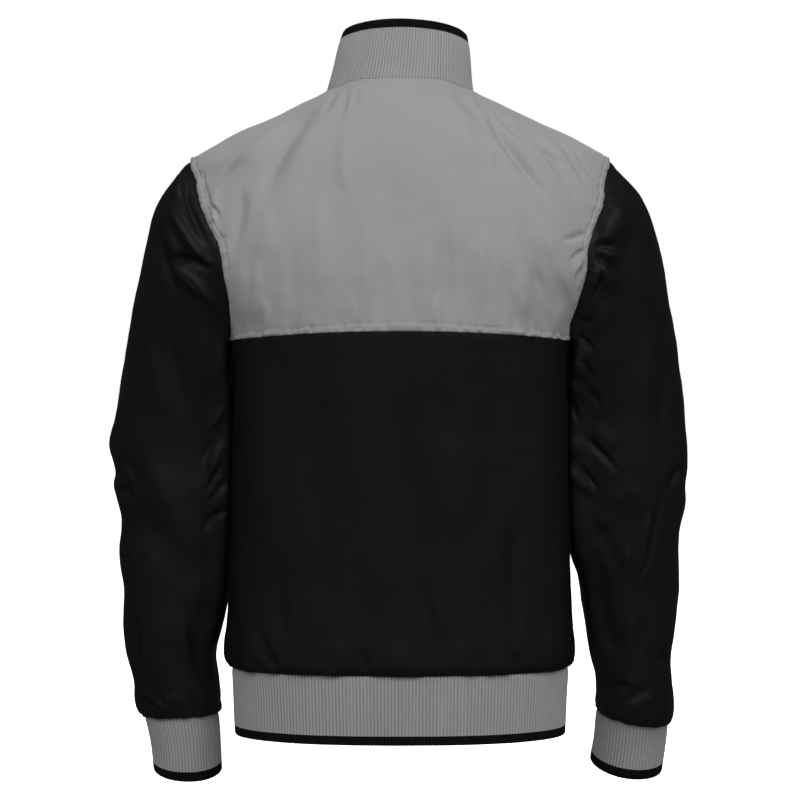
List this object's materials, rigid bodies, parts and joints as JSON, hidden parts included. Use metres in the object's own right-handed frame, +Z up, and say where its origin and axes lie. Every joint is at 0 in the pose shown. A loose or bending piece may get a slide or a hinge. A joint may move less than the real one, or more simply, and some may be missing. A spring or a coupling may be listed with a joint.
{
  "type": "track jacket",
  "caption": "Zip-front track jacket with a pale woven back yoke, dark body and sleeves, and tipped rib knit stand collar, cuffs and hem band.",
  "frame": {"origin": "centre of the neck opening, level with the side of the collar seam, where the jacket is held", "axes": "+Z up; the front faces -Y and the back +Y; the wearer's left is +X"},
  "size_m": [0.644, 0.2493, 0.8359],
  "materials": {
    "yoke_cloth": "light grey plain woven polyester, dull",
    "body_cloth": "black plain woven polyester, dull",
    "sleeve_cloth": "black plain woven polyester with a soft sheen",
    "rib_grey": "mid grey rib knit",
    "rib_black": "black rib knit stripe at the free edges",
    "zip_black": "black zip tape and moulded chain",
    "zip_metal": "grey metal zip parts"
  },
  "bodies": {
    "jacket": {"back_yoke": "yoke_cloth", "back_body": "body_cloth", "front_left": "body_cloth", "front_right": "body_cloth", "sleeve_left": "sleeve_cloth", "sleeve_right": "sleeve_cloth", "collar": "rib_grey", "cuff_left": "rib_grey", "cuff_right": "rib_grey", "hem_band": "rib_grey", "zip_tape": "zip_black", "zip_slider": "zip_metal", "zip_box": "zip_metal"},
    "pull_tab": {"zip_pull_tab": "zip_metal"}
  },
  "joints": [
    {"name": "pull_tab_hinge", "type": "hinge", "parent": "jacket", "child": "pull_tab", "pos_m": [0, -0.06953, 0.01853], "axis": [-1, 0, 0], "range_deg": [0, 150]}
  ]
}
